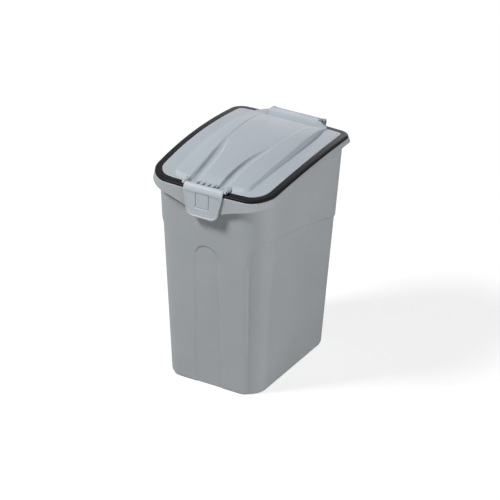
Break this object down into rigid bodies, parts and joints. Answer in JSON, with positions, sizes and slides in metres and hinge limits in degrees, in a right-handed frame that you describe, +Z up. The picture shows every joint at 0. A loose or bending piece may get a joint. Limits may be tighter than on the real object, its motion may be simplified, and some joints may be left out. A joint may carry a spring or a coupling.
{
  "type": "rice bin with flip lid",
  "caption": "Tapered food storage bin with arched front panel, flared rim, domed lid on a back hinge rod, black rubber seal and swing-out front latch.",
  "frame": {"origin": "middle of the tub's flat base, on the floor", "axes": "+X to the right seen from the latch side, +Y to the hinge at the back, +Z up"},
  "size_m": [0.2132, 0.2842, 0.356],
  "materials": {
    "tub_plastic": "fine moulded satin, cool mid grey",
    "lid_plastic": "satin moulded, pale blue grey",
    "seal_rubber": "soft black rubber, slight sheen",
    "latch_plastic": "satin to gloss moulded, pale blue grey",
    "pin_steel": "drawn steel wire",
    "rod_steel": "drawn steel wire"
  },
  "bodies": {
    "tub": {"tub": "tub_plastic", "hinge_rod": "rod_steel"},
    "lid": {"lid": "lid_plastic", "lid_seal": "seal_rubber", "latch_pin": "pin_steel"},
    "latch": {"latch": "latch_plastic"}
  },
  "joints": [
    {"name": "lid_hinge", "type": "hinge", "parent": "tub", "child": "lid", "pos_m": [0, 0.147, 0.339], "axis": [-1, 0, 0], "range_deg": [0, 105]},
    {"name": "latch_swing", "type": "hinge", "parent": "lid", "child": "latch", "pos_m": [0, -0.121, 0.3326], "axis": [-1, 0, 0], "range_deg": [0, 100]}
  ]
}
